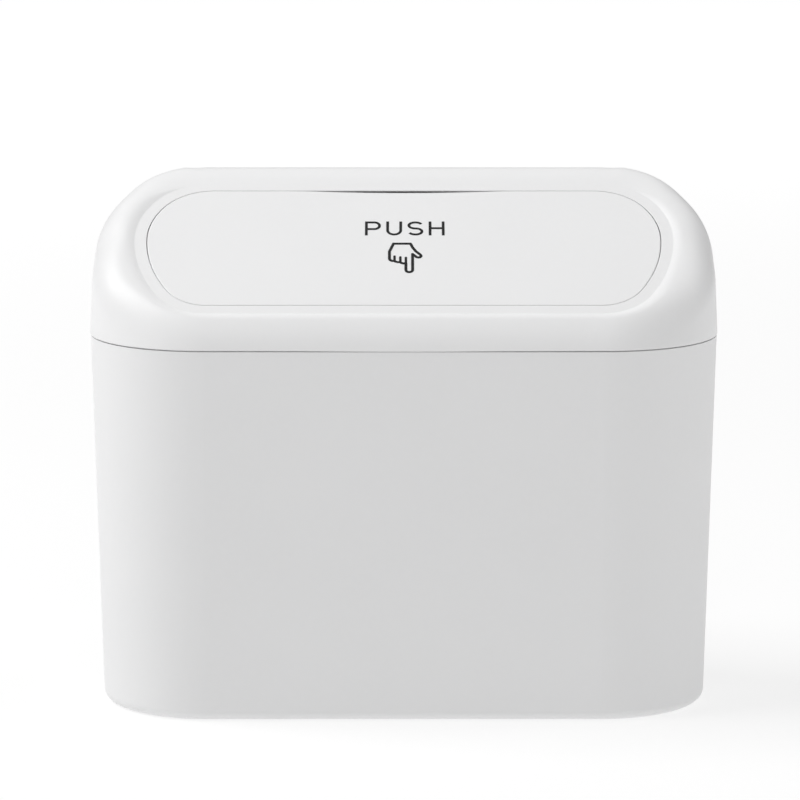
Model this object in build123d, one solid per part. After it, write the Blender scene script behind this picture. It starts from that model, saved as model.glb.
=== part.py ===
from build123d import *
from math import atan, atan2, cos, degrees, hypot, pi, radians, sin, sqrt, tan
import os

# A small push-flap trash can for a car: a tapered tub, a lift-off cover whose top
# slopes down to the front, a sprung flap set flush in that slope, and a hook on
# the back that hangs the can from the edge of a door pocket.
#
# Frame: +Z up, the front faces -Y, +X is to the right as seen from the front.
# The origin is the centre of the flat underside.  Millimetres and degrees.

# ---------------------------------------------------------------- tub
TUB_W = 160.0          # width at the seam
TUB_D = 66.6           # depth at the seam
TUB_R = 30.0           # corner radius at the seam
SEAM_Z = 95.5          # height of the seam between tub and cover
TUB_INSET = 2.35       # how far each wall leans in at the base
TUB_WALL = 2.4
TUB_FLOOR = 2.6
TUB_FOOT_R = 2.6       # fillet around the base
MOUTH_INSET = 3.8      # outer wall to the inside of the thick rim band
RIM_BAND_Z = 84.5      # where the rim band starts
LIP_INSET = 2.45       # outer wall to the outside of the upstanding lip
LIP_FRONT_Z = 98.1     # lip height at the front
LIP_SLOPE = 0.12       # the lip rises to the back
SEAM_GAP = 0.3         # shadow gap under the cover
SEAM_GAP_DEEP = 0.7

# ---------------------------------------------------------------- cover
COVER_LAP = 0.15       # how far the cover stands proud of the tub, each side
COVER_DRAFT = 0.045    # inward lean per mm of height
SLOPE = 32.0           # slope of the top, degrees from level
CREST_H = 5.6          # sharp front edge of the slope above the seam
RING_H = 0.75          # crest of the ring above the ledge around the flap
RING_R = 9.0           # roll of the outer edge
COVER_WALL = 2.3
LEDGE_T = 2.2
RING_SLOPE = 25.0      # inner slope of the ring, degrees from the ledge
CREST_R = 5.0          # soft crest of the ring

# ---------------------------------------------------------------- flap
FLAP_HW = 65.48        # half width
FLAP_V0 = 10.36        # lower edge, measured up the slope from its sharp front edge
FLAP_V1 = 55.59        # upper edge
FLAP_VM = 36.68        # widest line of the flap
FLAP_R1, FLAP_A1 = 39.25, 31.73   # each end, downwards: a wide arc, then a tighter corner
FLAP_R3, FLAP_A3 = 21.6, 34.43    # and upwards
FLAP_T = 2.2
FLAP_EDGE_R = 0.3
FLAP_GAP = 0.17        # running gap along the upper and lower edge
FLAP_GAP_LOW = 0.21
FLAP_GAP_END = 0.12    # and this much more at each end
APERTURE_RELIEF = 20.0 # the opening widens inwards by this angle
LEDGE_W = 3.05         # ledge between the flap and the ring
SKIRT_N = -3.4         # underside of the stiffening skirt
SKIRT_T = 1.5
BOW_SAG = 0.95         # the upper edge is relieved in the middle
BOW_HALF = 28.0

# ---------------------------------------------------------------- hinge
AXIS_V = 51.4          # hinge axis, up the slope
AXIS_N = -5.2          # hinge axis, below the flap's face
PIN_R = 1.0
PIN_X0, PIN_X1 = 46.2, 67.2
LUG_BORE_R = 1.05
LUG_R = 2.8
LUG_X0, LUG_X1 = 47.0, 50.0
BOSS_X0, BOSS_X1 = 64.2, 67.2
BOSS_R = 2.8
HEEL_V, HEEL_N, HEEL_R = 5.2, -5.8, 1.3    # open stop, from the axis
TAB_X, TAB_W = 35.0, 12.0                  # closed stops on the lower edge
TAB_REACH = 2.3
TAB_N0, TAB_N1 = -3.9, -2.3
WIRE_R = 0.35
COIL_R = 1.55
COIL_PITCH = 0.8
COIL_X = 54.7          # outer end of the coil
LEG_UP_DIR = -60.7     # where the legs leave the coil, degrees from up-slope
LEG_DOWN_DIR = -110.0
COIL_TURNS = 4
LEG_UP_LEN = 8.0
LEG_DOWN_LEN = 11.2

# ---------------------------------------------------------------- hanging hook
PAD_HALF = 23.0        # raised pad on the back that carries the rails
PAD_Z0, PAD_Z1 = 46.0, 92.0
PAD_Y = TUB_D / 2 + 0.6     # its flat face
SLOT_HALF = 18.4
SLOT_DEEP = 2.8
RAIL_LIP_IN = 15.2
RAIL_T = 1.6
STOP_Z = 88.0          # underside of the stop across the top of the rails
HOOK_HALF = 18.1       # sliding plate
HOOK_T = 2.4
HOOK_BAND_HALF = 14.0  # bridge and tongue
HOOK_Z0 = 50.0
HOOK_GAP = 6.5         # what the tongue and the rails take between them
TONGUE_Z0 = 52.0
TONGUE_T = 2.4

# ---------------------------------------------------------------- print on the flap
INK_T = 0.06
TEXT_V0, TEXT_V1 = 37.6, 43.1
TEXT_X0 = -9.95
LETTER_W, LETTER_PITCH = 4.05, 5.43
STROKE = 0.7
HAND_STROKE = 0.74

CEN_MIN = (Align.CENTER, Align.CENTER, Align.MIN)
CEN_MAX = (Align.CENTER, Align.CENTER, Align.MAX)

ca, sa = cos(radians(SLOPE)), sin(radians(SLOPE))
COVER_W, COVER_D = TUB_W + 2 * COVER_LAP, TUB_D + 2 * COVER_LAP
COVER_R = TUB_R + COVER_LAP
FRONT_Y = -COVER_D / 2
LEDGE_Z0 = SEAM_Z + CREST_H - RING_H / ca     # the ledge plane over the front edge
# local frame of the slope: x across, y up the slope, z out of the ledge
SL = Plane(origin=(0, FRONT_Y, LEDGE_Z0), x_dir=(1, 0, 0), z_dir=(0, -sa, ca))


def at(x, v, n):
    """A point of the slope's frame in the part's frame."""
    return (x, FRONT_Y + v * ca - n * sa, LEDGE_Z0 + v * sa + n * ca)


def prism(w, d, r, z0, h, taper=0.0):
    return extrude(Plane.XY.offset(z0) * RectangleRounded(w, d, r), amount=h, taper=taper)


def on_slope(sketch, n0, n1, taper=0.0):
    return extrude(SL.offset(n0) * sketch, amount=n1 - n0, taper=taper)


def flap_outline(grow, grow_low=None, end=0.0):
    """The flap's outline, grown evenly: straight along, with two arcs up and two
    down at each end."""
    low = grow if grow_low is None else grow_low
    hw = FLAP_HW + grow + end

    def quarter(r_wide, angle, height, sign):
        """Corner points of the right end, from its widest line to the straight edge."""
        a = radians(angle)
        r_wide += grow
        r_corner = (height - r_wide * sin(a)) / (1 - sin(a))
        pts = [(hw - r_wide * (1 - cos(t)), FLAP_VM + sign * r_wide * sin(t)) for t in (0, a / 2, a)]
        cx, cv = pts[2][0] - r_corner * cos(a), r_wide * sin(a) - r_corner * sin(a)
        pts += [(cx + r_corner * cos(t), FLAP_VM + sign * (cv + r_corner * sin(t)))
                for t in ((a + pi / 2) / 2, pi / 2)]
        return pts

    down = quarter(FLAP_R1, FLAP_A1, FLAP_VM - FLAP_V0 + low, -1)
    up = quarter(FLAP_R3, FLAP_A3, FLAP_V1 - FLAP_VM + grow, 1)

    def flip(p):
        return (-p[0], p[1])

    edges = [
        Edge.make_line(flip(down[4]), down[4]),
        Edge.make_three_point_arc(down[4], down[3], down[2]),
        Edge.make_three_point_arc(down[2], down[1], down[0]),
        Edge.make_three_point_arc(up[0], up[1], up[2]),
        Edge.make_three_point_arc(up[2], up[3], up[4]),
        Edge.make_line(up[4], flip(up[4])),
        Edge.make_three_point_arc(flip(up[4]), flip(up[3]), flip(up[2])),
        Edge.make_three_point_arc(flip(up[2]), flip(up[1]), flip(up[0])),
        Edge.make_three_point_arc(flip(down[0]), flip(down[1]), flip(down[2])),
        Edge.make_three_point_arc(flip(down[2]), flip(down[3]), flip(down[4])),
    ]
    return Face(Wire(edges))


def save(shape, name):
    export_step(shape, f"parts/{name}.step")


# ================================================================ bin_body
lean = degrees(atan(TUB_INSET / SEAM_Z))


def half_in(z):
    """How far the outer wall has leaned in at height z."""
    return TUB_INSET * (1 - z / SEAM_Z)


body = prism(TUB_W - 2 * TUB_INSET, TUB_D - 2 * TUB_INSET, TUB_R - TUB_INSET, 0, SEAM_Z, -lean)
body = fillet(body.edges().group_by(Axis.Z)[0], TUB_FOOT_R)

# rails for the hook, on a flat pad that stands off the leaning back wall
pad = Pos(0, TUB_D / 2 - 3.4, PAD_Z0) * Box(
    2 * PAD_HALF, PAD_Y - TUB_D / 2 + 3.4, PAD_Z1 - PAD_Z0, align=(Align.CENTER, Align.MIN, Align.MIN))
rail_out = PAD_Y + SLOT_DEEP + RAIL_T
rails = Pos(0, PAD_Y, PAD_Z0) * Box(
    2 * PAD_HALF, rail_out - PAD_Y, PAD_Z1 - PAD_Z0, align=(Align.CENTER, Align.MIN, Align.MIN))
rails = fillet(rails.edges().group_by(Axis.Y)[-1], 1.1)
rails -= Pos(0, PAD_Y, PAD_Z0 - 1) * Box(
    2 * SLOT_HALF, SLOT_DEEP, STOP_Z - PAD_Z0 + 1, align=(Align.CENTER, Align.MIN, Align.MIN))
rails -= Pos(0, PAD_Y, PAD_Z0 - 1) * Box(
    2 * RAIL_LIP_IN, 20, PAD_Z1 - PAD_Z0 + 2, align=(Align.CENTER, Align.MIN, Align.MIN))
lips = [e for e in rails.edges().filter_by(Axis.Z) if e.center().Y > PAD_Y + SLOT_DEEP - 0.1
        and abs(abs(e.center().X) - RAIL_LIP_IN) < 0.01]
rails = fillet(lips, 0.5)
rails += Pos(0, PAD_Y, STOP_Z) * Box(
    2 * SLOT_HALF, SLOT_DEEP - 0.6, PAD_Z1 - STOP_Z, align=(Align.CENTER, Align.MIN, Align.MIN))
body += pad + rails

# the inside: leaning lower room, a sloped step, then the thick rim band
lo_in = half_in(TUB_FLOOR) + TUB_WALL
room = prism(TUB_W - 2 * lo_in, TUB_D - 2 * lo_in, TUB_R - lo_in, TUB_FLOOR, RIM_BAND_Z - TUB_FLOOR, -lean)
room = fillet(room.edges().group_by(Axis.Z)[0], 3.0)
hi_in = half_in(RIM_BAND_Z) + TUB_WALL
step = MOUTH_INSET - hi_in
room += prism(TUB_W - 2 * hi_in, TUB_D - 2 * hi_in, TUB_R - hi_in, RIM_BAND_Z, step, 45)
mouth = prism(TUB_W - 2 * MOUTH_INSET, TUB_D - 2 * MOUTH_INSET, TUB_R - MOUTH_INSET,
              RIM_BAND_Z + step - 0.02, 40)

# upstanding lip inside the cover, lower at the front
lip = prism(TUB_W - 2 * LIP_INSET, TUB_D - 2 * LIP_INSET, TUB_R - LIP_INSET, SEAM_Z - 1.0, 16,
            degrees(atan(COVER_DRAFT)))
tilt = atan(LIP_SLOPE)
lip -= Plane(origin=(0, -TUB_D / 2 + LIP_INSET, LIP_FRONT_Z), x_dir=(1, 0, 0),
             z_dir=(0, -sin(tilt), cos(tilt))) * Box(300, 300, 60, align=CEN_MIN)
lip = chamfer(lip.faces().sort_by(Axis.Z)[-1].edges(), 0.8)
body += lip
body -= room
body -= mouth
# shadow gap under the cover's edge
gap_ring = Pos(0, 0, SEAM_Z - SEAM_GAP) * Box(TUB_W + 20, TUB_D + 20, 20, align=CEN_MIN)
gap_ring -= prism(TUB_W - 2 * SEAM_GAP_DEEP, TUB_D - 2 * SEAM_GAP_DEEP, TUB_R - SEAM_GAP_DEEP,
                  SEAM_Z - SEAM_GAP - 1, 40)
body -= gap_ring
# a shallow channel under the base leaves a foot ring and a centre pad in one plane
chan = prism(132.0, 40.0, 16.0, -1, 1.5) - prism(127.0, 35.0, 13.5, -1, 1.5)
body -= chan
# moulding gate in the middle of the base: a dimple with a cut-off stub inside it
dimple = extrude(Circle(3.0), amount=0.5)
stub = extrude(Circle(0.9), amount=0.5, taper=12)
body -= dimple - Pos(0, 0, 0.2) * stub
save(body, "bin_body")

# ================================================================ cover_frame
draft = degrees(atan(COVER_DRAFT))
cover = prism(COVER_W, COVER_D, COVER_R, SEAM_Z, 64, draft)
cover -= SL.offset(RING_H) * Box(400, 400, 200, align=CEN_MIN)
top = [f for f in cover.faces() if f.normal_at().dot(SL.z_dir) > 0.999]
cover = fillet(top[0].edges(), RING_R)

DEEP = 2.0
cw = COVER_WALL - DEEP * COVER_DRAFT
hollow = prism(COVER_W - 2 * cw, COVER_D - 2 * cw, COVER_R - cw, SEAM_Z - DEEP, 60 + DEEP, draft)
hollow -= SL.offset(-LEDGE_T) * Box(400, 400, 200, align=CEN_MIN)
top = [f for f in hollow.faces() if f.normal_at().dot(SL.z_dir) > 0.999]
hollow = fillet(top[0].edges(), RING_R - COVER_WALL - 0.7)
cover -= hollow

recess = on_slope(flap_outline(LEDGE_W), 0.0, 1.4, -(90 - RING_SLOPE))
cover -= recess
crest = [e for e in cover.edges() if 0.2 < SL.to_local_coords(e.center()).Z < 1.2 and e.length > 3]
cover = fillet(crest, CREST_R)
cover -= on_slope(flap_outline(FLAP_GAP, FLAP_GAP_LOW, FLAP_GAP_END), -0.3, 3)
widen = (LEDGE_T + 1 - 0.25) * tan(radians(APERTURE_RELIEF))
cover -= on_slope(flap_outline(FLAP_GAP + widen, FLAP_GAP_LOW + widen, FLAP_GAP_END),
                  -LEDGE_T - 1, -0.25, APERTURE_RELIEF)

# two bosses under the ledge hold the hinge pins
for s in (1, -1):
    xm, xt = s * (BOSS_X0 + BOSS_X1) / 2, BOSS_X1 - BOSS_X0
    across = Plane(origin=at(xm - xt / 2, AXIS_V, AXIS_N), x_dir=(0, ca, sa), z_dir=(1, 0, 0))
    boss = extrude(across * Circle(BOSS_R), amount=xt)
    boss += extrude(across * (Pos(0, 2.1) * Rectangle(2 * BOSS_R, 4.2)), amount=xt)
    cover += boss
    cover -= extrude(across.offset(-1) * Circle(PIN_R), amount=xt + 2)
save(cover, "cover_frame")

# ================================================================ push_flap
flap = on_slope(flap_outline(0), -FLAP_T, 0)
top = [f for f in flap.faces() if f.normal_at().dot(SL.z_dir) > 0.999]
flap = fillet(top[0].edges(), FLAP_EDGE_R)
skirt = flap_outline(0) - flap_outline(-SKIRT_T)
flap += on_slope(skirt, SKIRT_N, -FLAP_T)
vm = (FLAP_V0 + FLAP_V1) / 2
for x in (-22.0, 22.0):
    flap += on_slope(Pos(x, vm) * Rectangle(1.2, FLAP_V1 - FLAP_V0 - 2.0), SKIRT_N + 0.4, -FLAP_T)
flap += on_slope(Pos(0, vm - 6) * Rectangle(2 * FLAP_HW - 24.0, 1.2), SKIRT_N + 0.4, -FLAP_T)
# the middle of the upper edge is relieved
bow_r = (BOW_HALF ** 2 + BOW_SAG ** 2) / (2 * BOW_SAG)
flap -= on_slope(Pos(0, FLAP_V1 - BOW_SAG + bow_r) * Circle(bow_r), SKIRT_N - 1, 1)
# tabs under the ledge stop the flap flush when it closes
for x in (-TAB_X, TAB_X):
    flap += on_slope(Pos(x, FLAP_V0 + 0.7 - TAB_REACH / 2) * Rectangle(TAB_W, TAB_REACH + 1.4), TAB_N0, TAB_N1)
# hinge lugs, each with a heel that meets the ledge when the flap is fully open
for s in (1, -1):
    xm, xt = s * (LUG_X0 + LUG_X1) / 2, LUG_X1 - LUG_X0
    across = Plane(origin=at(xm - xt / 2, AXIS_V, AXIS_N), x_dir=(0, ca, sa), z_dir=(1, 0, 0))
    web = -FLAP_T - AXIS_N + 0.4
    lug = extrude(across * Circle(LUG_R), amount=xt)
    lug += extrude(across * (Pos(0, web / 2) * Rectangle(2 * LUG_R, web)), amount=xt)
    reach = hypot(HEEL_V, HEEL_N)
    turn = degrees(atan(HEEL_N / HEEL_V))
    arm = Rot(0, 0, turn) * (Pos(reach / 2, 0) * Rectangle(reach, 2 * HEEL_R))
    lug += extrude(across * arm, amount=xt)
    lug += extrude(across * (Pos(HEEL_V, HEEL_N) * Circle(HEEL_R)), amount=xt)
    flap += lug
    flap -= extrude(across.offset(-1) * Circle(LUG_BORE_R), amount=xt + 2)
save(flap, "push_flap")

# ================================================================ hinge pins
pin_plane = Plane(origin=at(PIN_X0, AXIS_V, AXIS_N), x_dir=(0, ca, sa), z_dir=(1, 0, 0))
pin = extrude(pin_plane * Circle(PIN_R), amount=PIN_X1 - PIN_X0)
pin = chamfer(pin.edges().filter_by(GeomType.CIRCLE), 0.2)
save(pin, "hinge_pin_right")
save(mirror(pin, about=Plane.YZ), "hinge_pin_left")

# ================================================================ torsion springs
# The coil runs inwards from its outer end; one leg bears up under the ledge
# behind the flap, the other bears up under the flap and closes it.
p0 = radians(LEG_UP_DIR)
turns = COIL_TURNS + (LEG_UP_DIR - LEG_DOWN_DIR) / 360.0
coil_plane = Plane(origin=at(COIL_X, AXIS_V, AXIS_N),
                   x_dir=(0, cos(p0) * ca - sin(p0) * sa, cos(p0) * sa + sin(p0) * ca),
                   z_dir=(-1, 0, 0))
slope_t = COIL_PITCH / (2 * pi * COIL_R)
unit = sqrt(1 + slope_t ** 2)
start = Vector(COIL_R, 0, 0)
t_start = Vector(0, 1 / unit, slope_t / unit)
a1 = 2 * pi * turns
end = Vector(COIL_R * cos(a1), COIL_R * sin(a1), COIL_PITCH * turns)
t_end = Vector(-sin(a1) / unit, cos(a1) / unit, slope_t / unit)
leg_up_tip = start - t_start * LEG_UP_LEN
leg_down_tip = end + t_end * LEG_DOWN_LEN
helix = Helix(COIL_PITCH, COIL_PITCH * turns, COIL_R)
path = Wire([Edge.make_line(leg_up_tip, start), helix.edge(), Edge.make_line(end, leg_down_tip)])
spring = sweep(Plane(origin=leg_up_tip, z_dir=t_start) * Circle(WIRE_R), path=path, is_frenet=True)
spring = coil_plane * spring
save(spring, "torsion_spring_right")
save(mirror(spring, about=Plane.YZ), "torsion_spring_left")
wire_len = LEG_UP_LEN + LEG_DOWN_LEN + turns * hypot(2 * pi * COIL_R, COIL_PITCH)
print("spring volume", round(spring.volume, 3), "expected", round(wire_len * pi * WIRE_R ** 2, 3))

# ================================================================ hanging hook
slide_y = PAD_Y + (SLOT_DEEP - HOOK_T) / 2
hook_z1 = STOP_Z - 0.1
tongue_y = rail_out + HOOK_GAP
plate = Pos(0, slide_y, HOOK_Z0) * Box(
    2 * HOOK_HALF, HOOK_T, hook_z1 - HOOK_Z0, align=(Align.CENTER, Align.MIN, Align.MIN))
plate = chamfer([e for e in plate.edges().filter_by(Axis.Y) if e.center().Z < HOOK_Z0 + 1], 2.0)
plate = fillet(plate.edges().group_by(Axis.Y)[0] + plate.edges().group_by(Axis.Y)[-1], 0.4)
# bridge and tongue are one bent strip; the tip of the tongue flares outwards
side = Plane(origin=(-HOOK_BAND_HALF, 0, 0), x_dir=(0, 1, 0), z_dir=(1, 0, 0))
mid_y, mid_z = tongue_y + TONGUE_T / 2, hook_z1 - TONGUE_T / 2
run = FilletPolyline((slide_y + HOOK_T / 2, TONGUE_Z0 + 8), (slide_y + HOOK_T / 2, mid_z), (mid_y, mid_z),
                     (mid_y, TONGUE_Z0 + 1.0), (mid_y + 1.6, TONGUE_Z0 - 4.6), radius=3.5)
strip = trace(run, TONGUE_T)
strip = fillet([v for v in strip.vertices() if v.Y < TONGUE_Z0 - 2], 1.15)
strip = extrude(side * strip, amount=2 * HOOK_BAND_HALF)
strip = fillet(strip.edges().group_by(Axis.X)[0] + strip.edges().group_by(Axis.X)[-1], 0.45)
hook = plate + strip
save(hook, "hanging_hook")

# ================================================================ print on the flap
def ring_box(w, h, r, t):
    return RectangleRounded(w, h, r) - RectangleRounded(w - 2 * t, h - 2 * t, max(r - t, 0.05))


H = TEXT_V1 - TEXT_V0
L = LETTER_W
S = STROKE


def place(shape, i):
    return Pos(TEXT_X0 + i * LETTER_PITCH, TEXT_V0) * shape


bowl_h = 3.35
bowl = Pos(L / 2, H - bowl_h / 2) * ring_box(L, bowl_h, bowl_h / 2 - 0.01, S)
bowl -= Pos(L / 4, H - bowl_h / 2) * Rectangle(L / 2, bowl_h + 1)
bars = Pos(L / 4 + 0.05, H - S / 2) * Rectangle(L / 2 + 0.1, S)
bars += Pos(L / 4 + 0.05, H - bowl_h + S / 2) * Rectangle(L / 2 + 0.1, S)
letter_p = bowl + bars + Pos(S / 2, H / 2) * Rectangle(S, H)

letter_u = Pos(L / 2, H / 2 + 1) * ring_box(L, H + 2, L / 2 - 0.01, S)
letter_u -= Pos(L / 2, H + 2) * Rectangle(L + 1, 4)



def arc_band(cx, cy, a, b, t0, t1, n=13):
    """Both sides of a stroke along an elliptical arc, as two lists of points."""
    inner, outer = [], []
    for i in range(n):
        t = radians(t0 + (t1 - t0) * i / (n - 1))
        k = S / 2 / hypot(b * cos(t), a * sin(t))
        x, y, dx, dy = cx + a * cos(t), cy + b * sin(t), k * b * cos(t), k * a * sin(t)
        inner.append((x - dx, y - dy))
        outer.append((x + dx, y + dy))
    return inner, outer


sw, sh = (L - S) / 2, (H - S) / 4
halves = []
for cy, t0, t1 in ((H / 2 + sh, 28, 270), (H / 2 - sh, 90, -152)):
    inner, outer = arc_band(L / 2, cy, sw, sh, t0, t1)
    halves.append(make_face([Spline(*inner), Line(inner[-1], outer[-1]), Spline(*outer[::-1]),
                             Line(outer[0], inner[0])]))
letter_s = halves[0] + halves[1]

letter_h = Pos(S / 2, H / 2) * Rectangle(S, H) + Pos(L - S / 2, H / 2) * Rectangle(S, H)
letter_h += Pos(L / 2, H / 2 + 0.1) * Rectangle(L - S, S)

letters = []
for i, letter in enumerate((letter_p, letter_u, letter_s, letter_h)):
    letters += on_slope(place(letter, i), 0, INK_T).solids()
save(Compound(children=letters), "flap_word_print")


def stroke(p, q, w):
    """A straight stroke with round ends."""
    dx, dy = q[0] - p[0], q[1] - p[1]
    bar = Pos((p[0] + q[0]) / 2, (p[1] + q[1]) / 2) * Rot(0, 0, degrees(atan2(dy, dx))) * Rectangle(hypot(dx, dy), w)
    return bar + Pos(*p) * Circle(w / 2) + Pos(*q) * Circle(w / 2)


# a plain pointing hand drawn in one even line: palm, thumb, first finger and
# three bent fingers parted by short strokes
tip = [(1.35 + 0.85 * cos(radians(t)), 23.95 - 0.85 * sin(radians(t))) for t in range(0, 181, 20)]
route = [(-3.68, 31.2), (-2.65, 34.28), (1.68, 34.28), (2.2, 32.8), (3.05, 31.25), (4.22, 29.9), (4.36, 29.4),
         (4.12, 28.95), (3.68, 28.82), (3.2, 29.0), (2.2, 30.2)] + tip + [
         (0.5, 26.6), (-0.2, 26.5), (-0.75, 26.75), (-0.9, 27.0), (-1.6, 27.0), (-2.2, 27.25), (-2.38, 27.5),
         (-3.0, 27.5), (-3.48, 27.8), (-3.68, 28.3)]
parting = [((0.5, 26.6), (0.5, 28.8)), ((-0.9, 27.0), (-0.9, 29.0)), ((-2.38, 27.5), (-2.38, 29.3))]
line = Sketch()
for p, q in list(zip(route, route[1:] + route[:1])):
    line += stroke(p, q, HAND_STROKE)
for p, q in parting:
    line += stroke(p, q, 0.85 * HAND_STROKE)
hand_print = on_slope(line, 0, INK_T)
print("hand", [round(f.area, 3) for f in line.faces()], "valid", hand_print.is_valid)
save(hand_print, "flap_hand_print")
print("axis point", [round(c, 3) for c in at(0, AXIS_V, AXIS_N)], "cover top", round(cover.bounding_box().max.Z, 3))
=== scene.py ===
import math

import bpy
import numpy as np
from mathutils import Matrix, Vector


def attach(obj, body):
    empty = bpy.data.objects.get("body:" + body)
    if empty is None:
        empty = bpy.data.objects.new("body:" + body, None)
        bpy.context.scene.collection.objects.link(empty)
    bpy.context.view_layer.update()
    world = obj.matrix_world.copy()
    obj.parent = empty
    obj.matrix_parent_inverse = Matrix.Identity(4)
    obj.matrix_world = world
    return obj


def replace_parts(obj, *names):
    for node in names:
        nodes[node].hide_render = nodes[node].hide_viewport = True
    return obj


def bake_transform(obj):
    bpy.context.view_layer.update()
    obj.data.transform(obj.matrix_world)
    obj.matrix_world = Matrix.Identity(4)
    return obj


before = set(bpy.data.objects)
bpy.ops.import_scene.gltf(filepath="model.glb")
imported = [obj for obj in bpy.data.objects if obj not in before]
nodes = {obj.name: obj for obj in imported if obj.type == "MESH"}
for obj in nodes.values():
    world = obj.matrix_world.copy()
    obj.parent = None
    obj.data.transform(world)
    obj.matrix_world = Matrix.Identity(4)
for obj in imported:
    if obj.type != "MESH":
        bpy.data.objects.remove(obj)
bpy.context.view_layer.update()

# A small push-flap trash can for a car.  Everything is in metres, in the part's
# own frame: +Z up, the front faces -Y, the origin is the centre of the underside.

scene = bpy.context.scene

# ------------------------------------------------------------------ camera
FOCAL_PX = 4068.2          # for a picture 800 wide
cam_data = bpy.data.cameras.new("camera")
cam_data.sensor_width = 36.0
cam_data.lens = FOCAL_PX / 800.0 * 36.0
cam_data.shift_x = -3.9 / 800.0
cam_data.clip_start, cam_data.clip_end = 0.05, 60.0
camera = bpy.data.objects.new("camera", cam_data)
camera.location = (0.0, -1.0313, 0.26196)
camera.rotation_euler = (math.radians(90.0) - 0.1773, 0.0, 0.0)
scene.collection.objects.link(camera)
scene.camera = camera


# ------------------------------------------------------------------ node helpers
def lin(v):
    """An 8-bit display grey as linear light."""
    v = v / 255.0
    return v / 12.92 if v <= 0.04045 else ((v + 0.055) / 1.055) ** 2.4


class Graph:
    """A few lines less to type per node."""

    def __init__(self, name):
        self.mat = bpy.data.materials.new(name)
        self.mat.use_nodes = True
        self.tree = self.mat.node_tree
        self.tree.nodes.clear()
        self.out = self.node("ShaderNodeOutputMaterial")
        self.coord = self.node("ShaderNodeTexCoord").outputs["Object"]

    def node(self, kind, **values):
        n = self.tree.nodes.new(kind)
        for k, v in values.items():
            setattr(n, k, v)
        return n

    def link(self, a, b):
        self.tree.links.new(a, b)

    def put(self, socket, value):
        if isinstance(value, bpy.types.NodeSocket):
            self.link(value, socket)
        else:
            socket.default_value = value

    def stretched(self, scale):
        m = self.node("ShaderNodeMapping")
        self.link(self.coord, m.inputs["Vector"])
        m.inputs["Scale"].default_value = scale
        return m.outputs["Vector"]

    def noise(self, size, detail=2.0, rough=0.5, vector=None):
        """Noise with features of about this size in metres."""
        n = self.node("ShaderNodeTexNoise")
        self.link(vector or self.coord, n.inputs["Vector"])
        n.inputs["Scale"].default_value = 1.0 / size
        n.inputs["Detail"].default_value = detail
        n.inputs["Roughness"].default_value = rough
        return n.outputs["Fac"]

    def cells(self, size, feature="F1"):
        n = self.node("ShaderNodeTexVoronoi", feature=feature)
        self.link(self.coord, n.inputs["Vector"])
        n.inputs["Scale"].default_value = 1.0 / size
        return n

    def math(self, op, a, b=0.0, clamp=False):
        n = self.node("ShaderNodeMath", operation=op, use_clamp=clamp)
        self.put(n.inputs[0], a)
        self.put(n.inputs[1], b)
        return n.outputs[0]

    def span(self, value, a0, a1, b0, b1, smooth=False):
        n = self.node("ShaderNodeMapRange")
        if smooth:
            n.interpolation_type = "SMOOTHSTEP"
        self.put(n.inputs["Value"], value)
        for k, v in zip(("From Min", "From Max", "To Min", "To Max"), (a0, a1, b0, b1)):
            n.inputs[k].default_value = v
        return n.outputs["Result"]

    def mix(self, fac, a, b):
        n = self.node("ShaderNodeMix", data_type="RGBA")
        self.put(n.inputs["Factor"], fac)
        self.put(n.inputs[6], a)
        self.put(n.inputs[7], b)
        return n.outputs[2]

    def bump(self, height, depth, normal=None):
        n = self.node("ShaderNodeBump")
        n.inputs["Strength"].default_value = 1.0
        n.inputs["Distance"].default_value = depth
        self.link(height, n.inputs["Height"])
        if normal is not None:
            self.link(normal, n.inputs["Normal"])
        return n.outputs["Normal"]


def rgba(c):
    return (c[0], c[1], c[2], 1.0)


def plastic(name, colour, rough=0.42, grain=0.00022, grain_depth=0.0000035,
            wave_depth=0.000006, specks=True, shade=0.985):
    """White moulded plastic: spark-eroded grain, faint moulding waves, a little
    unevenness in tone and gloss, and a few tiny specks in the pigment."""
    g = Graph(name)
    p = g.node("ShaderNodeBsdfPrincipled")
    tone = g.noise(0.034, 3.0, 0.55)
    fine = g.noise(0.0016, 2.0, 0.6)
    col = g.mix(g.span(tone, 0.30, 0.70, 0.0, 1.0), rgba([c * shade for c in colour]), rgba(colour))
    col = g.mix(g.span(fine, 0.35, 0.65, 0.0, 0.35), col, rgba([min(1.0, c * 1.008) for c in colour]))
    if specks:
        v = g.cells(0.021)
        dot = g.span(v.outputs["Distance"], 0.0065, 0.0105, 1.0, 0.0, smooth=True)
        pick = g.node("ShaderNodeSeparateColor")
        g.link(v.outputs["Color"], pick.inputs["Color"])
        some = g.math("GREATER_THAN", pick.outputs["Red"], 0.45)
        dot = g.math("MULTIPLY", dot, some)
        dot = g.math("MULTIPLY", dot, 0.42)
        col = g.mix(dot, col, rgba([c * 0.62 for c in colour]))
    g.link(col, p.inputs["Base Color"])
    gloss = g.noise(0.011, 3.0, 0.55)
    g.link(g.span(gloss, 0.25, 0.75, rough - 0.035, rough + 0.035), p.inputs["Roughness"])
    p.inputs["IOR"].default_value = 1.49
    p.inputs["Specular IOR Level"].default_value = 0.42
    wave = g.bump(g.noise(0.009, 1.0, 0.4), wave_depth)
    skin = g.bump(g.noise(grain, 2.0, 0.55), grain_depth, wave)
    g.link(skin, p.inputs["Normal"])
    g.link(p.outputs["BSDF"], g.out.inputs["Surface"])
    return g.mat


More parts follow.
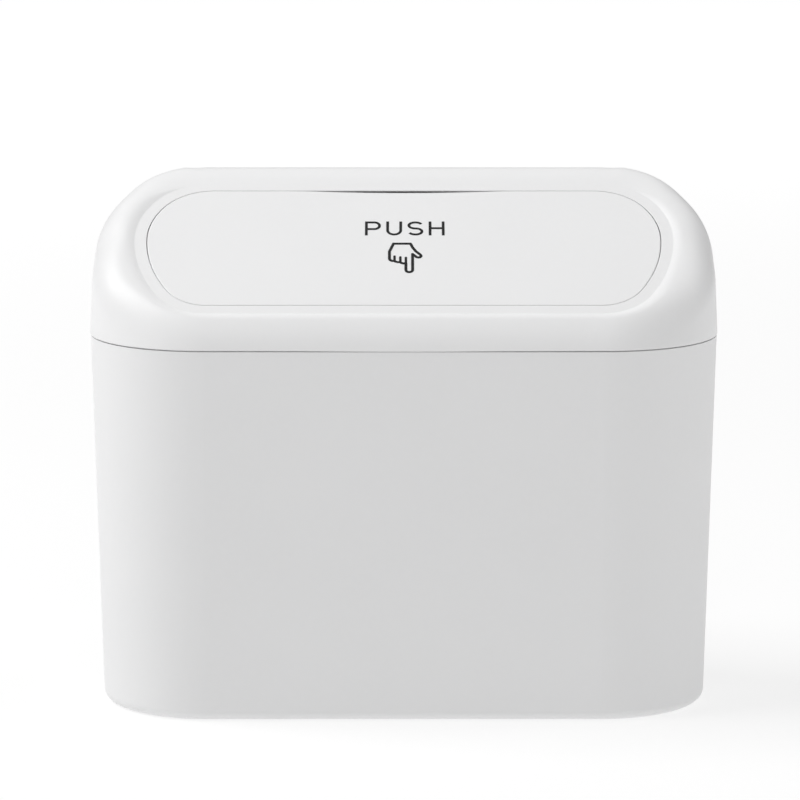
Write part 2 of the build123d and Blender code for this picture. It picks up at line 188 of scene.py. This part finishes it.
def steel(name, colour, rough, along, depth=0.0000015):
    """Drawn steel with fine lines along one axis and a faint uneven film of oil."""
    g = Graph(name)
    p = g.node("ShaderNodeBsdfPrincipled")
    p.inputs["Metallic"].default_value = 1.0
    lines = g.noise(0.00009, 3.0, 0.6, g.stretched(along))
    film = g.noise(0.0022, 3.0, 0.6)
    col = g.mix(g.span(lines, 0.3, 0.7, 0.0, 1.0), rgba([c * 0.86 for c in colour]), rgba(colour))
    col = g.mix(g.span(film, 0.5, 0.75, 0.0, 0.5), col, rgba([c * k for c, k in zip(colour, (0.84, 0.80, 0.74))]))
    g.link(col, p.inputs["Base Color"])
    g.link(g.span(film, 0.3, 0.7, rough - 0.06, rough + 0.08), p.inputs["Roughness"])
    g.link(g.bump(lines, depth), p.inputs["Normal"])
    g.link(p.outputs["BSDF"], g.out.inputs["Surface"])
    return g.mat


def ink(name):
    """Pad-printed black ink: nearly even, a little thin in places, satin."""
    g = Graph(name)
    p = g.node("ShaderNodeBsdfPrincipled")
    thin = g.noise(0.0009, 3.0, 0.6)
    col = g.mix(g.span(thin, 0.42, 0.74, 0.0, 1.0), (0.0065, 0.0065, 0.007, 1.0), (0.019, 0.019, 0.02, 1.0))
    g.link(col, p.inputs["Base Color"])
    g.link(g.span(g.noise(0.0005), 0.3, 0.7, 0.46, 0.6), p.inputs["Roughness"])
    p.inputs["Specular IOR Level"].default_value = 0.3
    g.link(g.bump(g.noise(0.00016, 2.0), 0.000004), p.inputs["Normal"])
    g.link(p.outputs["BSDF"], g.out.inputs["Surface"])
    return g.mat


WHITE = (0.845, 0.845, 0.848)
tub_mat = plastic("tub_plastic_look", (0.834, 0.834, 0.837), rough=0.46)
cover_mat = plastic("cover_plastic_look", WHITE, rough=0.40, grain_depth=0.000003)
flap_mat = plastic("flap_plastic_look", WHITE, rough=0.43, grain_depth=0.0000032)
hook_mat = plastic("hook_plastic_look", WHITE, rough=0.44)
pin_mat = steel("pin_steel_look", (0.60, 0.60, 0.615), 0.30, (0.04, 1.0, 1.0))
spring_mat = steel("spring_steel_look", (0.47, 0.465, 0.46), 0.34, (1.0, 0.2, 0.2))
ink_mat = ink("print_ink_look")


def dress(name, mat):
    o = nodes[name]
    o.data.materials.clear()
    o.data.materials.append(mat)


dress("bin_body", tub_mat)
dress("push_flap", flap_mat)
dress("hanging_hook", hook_mat)
dress("hinge_pin_left", pin_mat)
dress("hinge_pin_right", pin_mat)
dress("flap_word_print", ink_mat)
dress("flap_hand_print", ink_mat)


# ------------------------------------------------------------------ cover shape
# Millimetres here; the slope's frame is x across, v up the slope, n out of the ledge.
SEAM_Z, FRONT_Y = 95.5, -33.45
CV_W, CV_D, CV_R = 160.3, 66.9, 30.15
TILT = math.radians(32.0)
CA, SA, TA = math.cos(TILT), math.sin(TILT), math.tan(TILT)
LEDGE_Z0 = SEAM_Z + 5.6 - 0.75 / CA
LEAN = 0.045
FLAP_HW, FLAP_V0, FLAP_V1, FLAP_VM = 65.48, 10.36, 55.59, 36.68
LEDGE_W = 3.05
N_RISE = 52


def smooth01(t):
    t = np.clip(t, 0.0, 1.0)
    return t * t * (3.0 - 2.0 * t)


def flap_outline(n_arc=90, n_line=160):
    """The flap's outline in the slope's frame, anticlockwise, as points."""
    def quarter(r_wide, angle, height, sign):
        a = math.radians(angle)
        r_corner = (height - r_wide * math.sin(a)) / (1 - math.sin(a))
        t = np.linspace(0, a, n_arc)
        wide = np.stack([FLAP_HW - r_wide * (1 - np.cos(t)), FLAP_VM + sign * r_wide * np.sin(t)], 1)
        cx, cv = wide[-1, 0] - r_corner * math.cos(a), (r_wide - r_corner) * math.sin(a)
        t = np.linspace(a, math.pi / 2, n_arc)[1:]
        corner = np.stack([cx + r_corner * np.cos(t), FLAP_VM + sign * (cv + r_corner * np.sin(t))], 1)
        return np.concatenate([wide, corner])

    low = quarter(39.25, 31.73, FLAP_VM - FLAP_V0, -1)
    up = quarter(21.6, 34.43, FLAP_V1 - FLAP_VM, 1)
    flip = np.array([-1.0, 1.0])
    line = np.linspace(0, 1, n_line)[1:-1, None]
    low_line = (low[-1] * flip) * (1 - line) + low[-1] * line
    up_line = up[-1] * (1 - line) + (up[-1] * flip) * line
    return np.concatenate([low_line, low[::-1], up[1:], up_line, (up * flip)[::-1], (low * flip)[1:]])


OUTLINE = flap_outline()


def away(points):
    """Distance outwards from the flap's outline, and the direction away from it."""
    a = OUTLINE
    b = np.roll(a, -1, axis=0)
    e = b - a
    l2 = (e ** 2).sum(1)
    dist, way = np.empty(len(points)), np.empty((len(points), 2))
    for i in range(0, len(points), 400):
        p = points[i:i + 400, None, :]
        t = np.clip(((p - a) * e).sum(2) / l2, 0.0, 1.0)
        q = a + t[..., None] * e
        d2 = ((p - q) ** 2).sum(2)
        k = d2.argmin(1)
        rows = np.arange(len(k))
        near = q[rows, k]
        d = np.sqrt(d2[rows, k])
        nrm = np.stack([e[k, 1], -e[k, 0]], 1) / np.sqrt(l2[k])[:, None]
        side = np.sign(((points[i:i + 400] - near) * nrm).sum(1))
        side[side == 0] = 1.0
        dist[i:i + 400] = d * side
        g = (points[i:i + 400] - near) / np.maximum(d, 1e-9)[:, None] * side[:, None]
        far = d < 1e-6
        g[far] = nrm[far]
        way[i:i + 400] = g
    return dist, way


def plan():
    """Points around the cover's edge at the seam, with outward directions."""
    hx, hy, r = CV_W / 2, CV_D / 2, CV_R
    pts, nrm = [], []
    cx, cy = hx - r, hy - r

    def run(x0, y0, x1, y1, n, nx, ny):
        for t in np.linspace(0, 1, n, endpoint=False):
            pts.append((x0 + (x1 - x0) * t, y0 + (y1 - y0) * t))
            nrm.append((nx, ny))

    def turn(cx, cy, a0, n):
        for a in np.radians(a0 + np.linspace(0, 90, n, endpoint=False)):
            pts.append((cx + r * math.cos(a), cy + r * math.sin(a)))
            nrm.append((math.cos(a), math.sin(a)))

    run(-cx, -hy, cx, -hy, 96, 0, -1)
    turn(cx, -cy, -90, 96)
    run(hx, -cy, hx, cy, 8, 1, 0)
    turn(cx, cy, 0, 96)
    run(cx, hy, -cx, hy, 96, 0, 1)
    turn(-cx, cy, 90, 96)
    run(-hx, cy, -hx, -cy, 8, -1, 0)
    turn(-cx, -cy, 180, 96)
    return np.array(pts), np.array(nrm)


def conic(w, c, q, k, n):
    """Points of a rational curve from w to q that leaves both towards c."""
    t = (1 - np.cos(np.linspace(0, math.pi, n))) / 2
    t = (0.55 * t + 0.45 * np.linspace(0, 1, n))[None, :, None]
    b0, b1, b2 = (1 - t) ** 2, 2 * t * (1 - t) * k[:, None, None], t ** 2
    return (b0 * w[:, None] + b1 * c[:, None] + b2 * q[:, None]) / (b0 + b1 + b2)


def roll(nrm, rise, inset, radius, lift, front=0.0, seam=SEAM_Z):
    """Wall point, corner and top point of the rolled edge, in each column's own
    (inwards, up) axes, and the curve's weight.  lift is the height over the ledge plane."""
    m = len(nrm)
    ny, nx = nrm[:, 1], np.abs(nrm[:, 0])
    lean = LEAN + front
    slope = -ny * TA                                      # climb of the top per mm inwards
    z_edge = LEDGE_Z0 + (rise[:, 1] - FRONT_Y) * TA + lift / CA   # top plane over the seam line
    # wall: d = inset + lean * (z - seam);  top: z = z_edge + slope * d
    z_c = (z_edge + slope * (inset - lean * seam)) / (1 - slope * lean)
    d_c = inset + lean * (z_c - seam)
    c = np.stack([d_c, z_c], 1)
    wall = np.stack([-lean * np.ones(m) if np.isscalar(lean) else -lean, -np.ones(m)], 1)
    wall /= np.linalg.norm(wall, axis=1)[:, None]
    top = np.stack([np.ones(m), slope], 1)
    top /= np.linalg.norm(top, axis=1)[:, None]
    d = math.atan(LEAN)
    turn = np.arccos(np.clip(-ny * SA * math.cos(d) + CA * math.sin(d), -1, 1))   # between the normals
    t = radius * np.tan(turn / 2)
    # the roll follows an edge that climbs along the sides, so its section is stretched
    edge = np.stack([-nrm[:, 1] * CA, nrm[:, 0] * CA, nrm[:, 0] * SA], 1)
    edge /= np.linalg.norm(edge, axis=1)[:, None]
    climb = np.sqrt(np.maximum(1 - edge[:, 2] ** 2, 1e-6))
    n_p = np.array([0.0, -SA, CA])
    across = np.cross(edge, n_p)
    c3 = np.stack([-nrm[:, 0] * top[:, 0], -nrm[:, 1] * top[:, 0], top[:, 1]], 1)
    skew = np.abs((across * c3).sum(1))
    t_w, t_q = t / climb, t / np.maximum(skew, 0.2)
    k = np.cos(turn / 2)
    return c, wall, top, t_w, t_q, k


def cover_rows():
    """Closed section of the cover in every column: an array (columns, rows, 3) in mm."""
    pts, nrm = plan()
    m = len(pts)
    ny = nrm[:, 1]
    front = smooth01((-ny - 0.45) / 0.55)
    back = smooth01((ny - 0.30) / 0.62)

    def place(dz):
        """Column coordinates (inwards, up) to x, y, z."""
        return np.concatenate([pts[:, None, :] - nrm[:, None, :] * dz[..., :1], dz[..., 1:]], axis=2)

    # ---- where each column meets the edge of the opening and the edge of the ledge
    def reach_to(target, lo, hi):
        a, b = np.full(m, lo), np.full(m, hi)
        for _ in range(22):
            mid = (a + b) / 2
            xy = pts - nrm * mid[:, None]
            v = (xy[:, 1] - FRONT_Y) / CA
            d, _w = away(np.stack([xy[:, 0], v], 1))
            out = d > target
            a, b = np.where(out, mid, a), np.where(out, b, mid)
        return (a + b) / 2

    d_ap = reach_to(np.full(m, 0.2), 0.0, 28.0)
    xy = pts - nrm * d_ap[:, None]
    foot = np.stack([xy[:, 0], (xy[:, 1] - FRONT_Y) / CA], 1)
    dist, way = away(foot)
    foot = foot - way * dist[:, None]                     # on the flap's outline itself
    gap = 0.06 + 0.09 * way[:, 0] ** 4 + 0.07 * np.clip(-way[:, 1], 0, 1) ** 2
    d_ledge = reach_to(np.full(m, LEDGE_W), 0.0, 28.0)

    # ---- rolled outer edge
    lift = 0.75 * (1 - back) + 0.22 * front
    c0, wall0, top0, tw0, tq0, k0 = roll(nrm, pts, 0.0, 9.0, np.full(m, 0.75))
    base = conic(c0 + wall0 * tw0[:, None], c0, c0 + top0 * tq0[:, None], k0, 90)
    z_top = base[..., 1].max(1)
    lean_front = 0.19 * front
    c, wall, top, tw, tq, k = roll(nrm, pts, 0.0, 9.0, lift, lean_front)
    full = np.linalg.norm(c - np.stack([np.zeros(m), np.full(m, SEAM_Z + 0.15)], 1), axis=1)
    tw = tw * (1 - front) + full * 0.93 * front
    room = (d_ledge - 0.15 - c[:, 0]) / top[:, 0]
    tq = np.minimum(tq + 1.9 * back, room)
    tq = tq * (1 - front) + np.minimum(3.7, room) * front
    w_pt, q_pt = c + wall * tw[:, None], c + top * tq[:, None]
    lo, hi = k * 0.6, k * 2.2                              # keep the crest as high as before
    for _ in range(30):
        mid = (lo + hi) / 2
        high = conic(w_pt, c, q_pt, mid, 90)[..., 1].max(1) > z_top - 0.42 * smooth01((ny - 0.945) / 0.045)
        lo, hi = np.where(high, lo, mid), np.where(high, mid, hi)
    k = k * (1 - back) + (lo + hi) / 2 * back
    edge = conic(w_pt, c, q_pt, k, 60)                    # wall to top
    # then on to the ledge
    d_mid = q_pt[:, :1] + (d_ledge[:, None] - q_pt[:, :1]) * np.linspace(0, 1, 41)[None, 1:]
    z_mid = q_pt[:, 1:] + top[:, 1:] / top[:, :1] * (d_mid - q_pt[:, :1])
    rise = np.concatenate([edge, np.stack([d_mid, z_mid], 2)], 1)

    # ---- inner slope of the ring, down to the ledge
    flat = rise.reshape(-1, 2)
    rep = rise.shape[1]
    xy = np.repeat(pts, rep, 0) - np.repeat(nrm, rep, 0) * flat[:, :1]
    z_ledge = LEDGE_Z0 + (xy[:, 1] - FRONT_Y) * TA
    near = flat[:, 0] > np.repeat(d_ledge, rep) - 9.0     # further out the slope is far above
    over, gv = np.full(len(flat), 9.0), np.zeros(len(flat))
    d, w = away(np.stack([xy[near, 0], (xy[near, 1] - FRONT_Y) / CA], 1))
    over[near], gv[near] = d - LEDGE_W, w[:, 1]
    over = np.where(over > 0.3, over - 0.15, np.clip(over, 0, 0.3) ** 2 / 0.6)       # soft foot
    ramp = math.tan(math.radians(25.0))
    inner = z_ledge + over * ramp / (1 - gv * TA * ramp) / CA
    soft = 0.62 * np.repeat(lift, rep) / 0.75 + 1e-4
    gap_ab = flat[:, 1] - inner
    top_z = np.minimum(flat[:, 1], inner) - np.clip(soft - np.abs(gap_ab), 0, None) ** 2 / (4 * soft)
    last = np.zeros((m, rep), bool)
    last[:, -1] = True
    top_z = np.where(last.ravel(), z_ledge, top_z)
    rise = np.stack([flat[:, 0], top_z], 1).reshape(m, rep, 2)

    # ---- even rows along it, closer where it bends
    seg = np.diff(rise, axis=1)
    ang = np.unwrap(np.arctan2(seg[..., 1], seg[..., 0]), axis=1)
    bend = np.abs(np.diff(ang, axis=1))
    bend = (np.pad(bend, ((0, 0), (1, 0))) + np.pad(bend, ((0, 0), (0, 1)))) / 2
    cost = np.cumsum(np.linalg.norm(seg, axis=2) + 5.0 * bend, axis=1)
    cost = np.pad(cost, ((0, 0), (1, 0)))
    even = np.empty((m, N_RISE, 2))
    for i in range(m):
        u = np.linspace(0, cost[i, -1], N_RISE)
        even[i, :, 0] = np.interp(u, cost[i], rise[i, :, 0])
        even[i, :, 1] = np.interp(u, cost[i], rise[i, :, 1])
    rise = even

    outer = place(rise)
    rows = []
    # bottom edge, outside: a small round, then the wall; it sags a little in the middle of the front
    lo_z = SEAM_Z - np.where(ny < -0.99, 0.2 * np.exp(-(pts[:, 0] / 27.0) ** 2), 0.0)
    d0 = lambda z: (LEAN + lean_front) * (z - SEAM_Z)
    for a in np.radians([0, 22.5, 45, 67.5, 90]):
        r = 0.22
        z = lo_z + r - r * math.cos(a)
        rows.append(np.stack([d0(z) + r - r * math.sin(a), z], 1))
    low = [place(r[:, None, :]) for r in rows]
    # straight wall up to the roll, evenly
    w_z = w_pt[:, 1]
    for f in (0.25, 0.5, 0.75):
        z = (lo_z + 0.22) * (1 - f) + w_z * f
        low.append(place(np.stack([(LEAN + lean_front) * (z - SEAM_Z), z], 1)[:, None, :]))

    def ring_at(off, n):
        """Points a distance off outwards from the flap's outline, at height n in the slope's frame."""
        p = foot + way * np.broadcast_to(off, (m,))[:, None]
        return np.stack([p[:, 0], FRONT_Y + p[:, 1] * CA - n * SA, LEDGE_Z0 + p[:, 1] * SA + n * CA], 1)[:, None, :]

    inner_rows = []
    for f in (0.68, 0.36, 0.12):
        inner_rows.append(ring_at(gap + 0.16 + (LEDGE_W - gap - 0.16) * f, 0.0))
    for a in np.radians([0, 18, 36, 54, 72, 90]):
        r = 0.15
        inner_rows.append(ring_at(gap + r - r * math.sin(a), -r + r * math.cos(a)))
    # the wall of the opening falls away below its edge, more behind the bow of the flap's upper edge
    bow = np.where(way[:, 1] > 0.9, np.exp(-(foot[:, 0] / 21.0) ** 2), 0.0)
    relief = math.tan(math.radians(20.0)) * (1 - bow) + math.tan(math.radians(40.0)) * bow
    for n in (-0.9, -1.6, -2.05):
        inner_rows.append(ring_at(gap + (-n - 0.15) * relief, n))
    inner_rows.append(ring_at(gap + (2.2 - 0.15) * relief + 0.2, -2.2))

    # ---- underside: ledge, inner roll, inner wall
    zero = np.full(m, -2.2)
    ci, walli, topi, twi, tqi, ki = roll(nrm, pts, 2.3, 6.0, zero)
    tqi = np.minimum(tqi, np.maximum((d_ap - 2.4 - ci[:, 0]) / topi[:, 0], 0.6))
    twi = np.minimum(twi, (ci[:, 1] - SEAM_Z - 0.6))
    inside = conic(ci + walli * twi[:, None], ci, ci + topi * tqi[:, None], ki, 14)[:, ::-1]
    under = [place(inside)]
    wz = (ci + walli * twi[:, None])[:, 1]
    for f in (0.5, 1.0):
        z = wz * (1 - f) + (SEAM_Z + 0.4) * f
        under.append(place(np.stack([2.3 + LEAN * (z - SEAM_Z), z], 1)[:, None, :]))
    for a in np.radians([15, 50, 90]):
        r = 0.3
        under.append(place(np.stack([2.3 - r + r * np.cos(np.full(m, a)), lo_z + r - r * np.sin(a)], 1)[:, None, :]))
    return np.concatenate(low + [outer] + inner_rows + under, axis=1)


def mesh_piece(name, verts, faces, mat, sharp=None):
    me = bpy.data.meshes.new(name)
    me.from_pydata([tuple(float(c) / 1000.0 for c in v) for v in verts], [], faces)
    me.validate()
    me.polygons.foreach_set("use_smooth", [True] * len(me.polygons))
    if sharp is not None:
        me.set_sharp_from_angle(angle=math.radians(sharp))
    me.materials.append(mat)
    me.update()
    o = bpy.data.objects.new(name, me)
    scene.collection.objects.link(o)
    return o


AXIS = (0.0, FRONT_Y + 51.4 * CA + 5.2 * SA, LEDGE_Z0 + 51.4 * SA - 5.2 * CA)   # hinge axis


def boss(x0, x1, first):
    """A pin boss under the ledge: a round eye with a web up to the ledge, and the pin's hole."""
    ang = sorted(set([2 * math.pi * k / 56 for k in range(56)]
                     + [math.atan2(3.3, 2.8), math.atan2(3.3, -2.8)]))
    eye = []
    for a in ang:
        r = 2.8
        if math.sin(a) > 0:
            r = min(2.8 / max(abs(math.cos(a)), 1e-9), 3.3 / math.sin(a))
        eye.append((r * math.cos(a), r * math.sin(a), r))
    loops = []
    for x, cut, hole in ((x0 + 0.2, None, 1.0), (x0, None, 1.2), (x0, 0.25, None), (x0 + 0.25, 0.0, None),
                         (x1 - 0.25, 0.0, None), (x1, 0.25, None), (x1, None, 1.2), (x1 - 0.2, None, 1.0)):
        ring = []
        for a, (p, q, r) in zip(ang, eye):
            k = (r - cut) / r if cut is not None else hole / r
            v, n = p * k, q * k
            ring.append((x, AXIS[1] + v * CA - n * SA, AXIS[2] + v * SA + n * CA))
        loops.append(ring)
    verts = [v for ring in loops for v in ring]
    m, faces = len(ang), []
    for i in range(len(loops)):
        j = (i + 1) % len(loops)
        for k in range(m):
            l = (k + 1) % m
            faces.append((first + i * m + k, first + i * m + l, first + j * m + l, first + j * m + k))
    return verts, faces


def make_cover():
    rows = cover_rows()
    m, r, _three = rows.shape
    verts = [tuple(v) for v in rows.reshape(-1, 3)]
    faces = [(i * r + k, ((i + 1) % m) * r + k, ((i + 1) % m) * r + (k + 1) % r, i * r + (k + 1) % r)
             for i in range(m) for k in range(r)]
    for x0, x1 in ((64.2, 67.2), (-67.2, -64.2)):
        v, f = boss(x0, x1, len(verts))
        verts += v
        faces += f
    o = mesh_piece("cover_shell", verts, faces, cover_mat, sharp=42)
    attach(o, "cover")
    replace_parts(o, "cover_frame")
    return o


cover_obj = make_cover()


# ------------------------------------------------------------------ springs
def tube(path, radius, sides=12):
    """A round wire along a smooth path, with domed ends, as vertices and faces."""
    p = np.array(path)
    d = np.gradient(p, axis=0)
    d /= np.linalg.norm(d, axis=1)[:, None]
    up = np.cross(d[0], (0.3, 0.5, 0.8))
    up /= np.linalg.norm(up)
    stations = [(p[0] - d[0] * radius * math.sin(a), math.cos(a), 0) for a in (1.25, 0.8, 0.4)]
    stations += [(q, 1.0, i) for i, q in enumerate(p)]
    stations += [(p[-1] + d[-1] * radius * math.sin(a), math.cos(a), len(p) - 1) for a in (0.4, 0.8, 1.25)]
    verts, faces, last = [], [], None
    for q, k, i in stations:
        if last is not None and i != last:
            up = up - d[i] * up.dot(d[i])
            up /= np.linalg.norm(up)
        last = i
        side = np.cross(d[i], up)
        for s in range(sides):
            a = 2 * math.pi * s / sides
            verts.append(tuple(q + radius * k * (math.cos(a) * up + math.sin(a) * side)))
    n = len(stations)
    for i in range(n - 1):
        for s in range(sides):
            t = (s + 1) % sides
            faces.append((i * sides + s, i * sides + t, (i + 1) * sides + t, (i + 1) * sides + s))
    faces.append(tuple(range(sides))[::-1])
    faces.append(tuple((n - 1) * sides + s for s in range(sides)))
    return verts, faces


def make_spring(name, sign):
    """Torsion spring: one straight leg under the ledge, the coil round the pin, one leg under the flap."""
    coil_r, pitch, turns = 1.55, 0.8, 4 + (-60.7 + 110.0) / 360.0
    p0 = math.radians(-60.7)
    ex = np.array([0.0, math.cos(p0) * CA - math.sin(p0) * SA, math.cos(p0) * SA + math.sin(p0) * CA])
    ez = np.array([-1.0, 0.0, 0.0])
    ey = np.cross(ez, ex)
    o = np.array([54.7, AXIS[1], AXIS[2]])
    climb = pitch / (2 * math.pi * coil_r)
    unit = math.hypot(1.0, climb)

    def on_coil(a):
        return o + coil_r * (math.cos(a) * ex + math.sin(a) * ey) + ez * pitch * a / (2 * math.pi)

    def way(a):
        return (-math.sin(a) * ex + math.cos(a) * ey + climb * ez) / unit

    end = 2 * math.pi * turns
    path = [on_coil(0.0) - way(0.0) * t for t in np.linspace(7.6, 0.3, 12)]
    path += [on_coil(a) for a in np.linspace(0.0, end, 40 * 4 + 6)]
    path += [on_coil(end) + way(end) * t for t in np.linspace(0.3, 10.8, 16)]
    path = [(q[0] * sign, q[1], q[2]) for q in path]
    verts, faces = tube(path, 0.35)
    piece = mesh_piece(name, verts, faces, spring_mat, sharp=60)
    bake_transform(piece)
    return piece


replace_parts(make_spring("spring_wire_right", 1.0), "torsion_spring_right")
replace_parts(make_spring("spring_wire_left", -1.0), "torsion_spring_left")


# ------------------------------------------------------------------ floor
def floor():
    """A plain pale floor, larger than any view of the object."""
    me = bpy.data.meshes.new("floor")
    s = 9.0
    me.from_pydata([(-s, -s, 0), (s, -s, 0), (s, s, 0), (-s, s, 0)], [], [(0, 1, 2, 3)])
    o = bpy.data.objects.new("floor", me)
    scene.collection.objects.link(o)
    g = Graph("floor_look")
    p = g.node("ShaderNodeBsdfPrincipled")
    p.inputs["Base Color"].default_value = (0.30, 0.30, 0.30, 1.0)
    p.inputs["Roughness"].default_value = 0.9
    p.inputs["Specular IOR Level"].default_value = 0.1
    p.inputs["Emission Color"].default_value = (1.0, 1.0, 1.0, 1.0)
    # painted light: the floor glows though it is no lamp, strongly right beside the object and a little more further
    # away, like a lit sweep; the glow pales the object's cast shadow and lights the object from below
    reach = g.node("ShaderNodeVectorMath", operation="LENGTH")
    g.link(g.coord, reach.inputs[0])
    glow = g.math("MULTIPLY", g.span(reach.outputs["Value"], 0.35, 1.9, 0.0, 1.0, smooth=True), 0.19)
    glow.node.name = "glow_far"
    glow = g.math("ADD", glow, 0.69)
    glow.node.name = "glow_near"
    g.link(glow, p.inputs["Emission Strength"])
    g.link(p.outputs["BSDF"], g.out.inputs["Surface"])
    me.materials.append(g.mat)
    return o


floor_obj = floor()


# ------------------------------------------------------------------ light
def soft_box(name, where, at, size, power):
    d = bpy.data.lights.new(name, "AREA")
    d.shape = "RECTANGLE"
    d.size, d.size_y = size
    d.energy = power
    o = bpy.data.objects.new(name, d)
    o.location = where
    o.rotation_mode = "QUATERNION"
    o.rotation_quaternion = (Vector(at) - Vector(where)).to_track_quat("-Z", "Y")
    scene.collection.objects.link(o)
    return o


AIM = (0.0, 0.0, 0.07)
soft_box("light_top_left", (-1.2, 0.0, 1.5), AIM, (1.2, 1.2), 24.8)
soft_box("light_top_right", (1.2, 0.0, 1.5), AIM, (1.2, 1.2), 7.1)
soft_box("light_front_top", (0.0, -1.6, 1.5), AIM, (1.4, 1.0), 7.9)
soft_box("light_top_back", (0.0, 1.3, 1.5), AIM, (2.0, 1.2), 4.1)
soft_box("light_right", (1.9, 0.3, 0.65), AIM, (1.2, 1.1), 0.75)

world = bpy.data.worlds.new("world")
world.use_nodes = True
world.node_tree.nodes["Background"].inputs["Color"].default_value = (1.0, 1.0, 1.0, 1.0)
world.node_tree.nodes["Background"].inputs["Strength"].default_value = 0.217
# white behind the floor's far edge in a low view; what it lights stays as dim as above
tree = world.node_tree
behind = tree.nodes.new("ShaderNodeBackground")
behind.inputs["Color"].default_value = (1.0, 1.0, 1.0, 1.0)
behind.inputs["Strength"].default_value = 1.0
seen = tree.nodes.new("ShaderNodeLightPath")
pick = tree.nodes.new("ShaderNodeMixShader")
tree.links.new(seen.outputs["Is Camera Ray"], pick.inputs[0])
tree.links.new(tree.nodes["Background"].outputs["Background"], pick.inputs[1])
tree.links.new(behind.outputs["Background"], pick.inputs[2])
tree.links.new(pick.outputs["Shader"], tree.nodes["World Output"].inputs["Surface"])
scene.world = world
scene.view_settings.view_transform = "Standard"
scene.view_settings.look = "None"
scene.view_settings.exposure = 0.0
scene.view_settings.gamma = 1.0
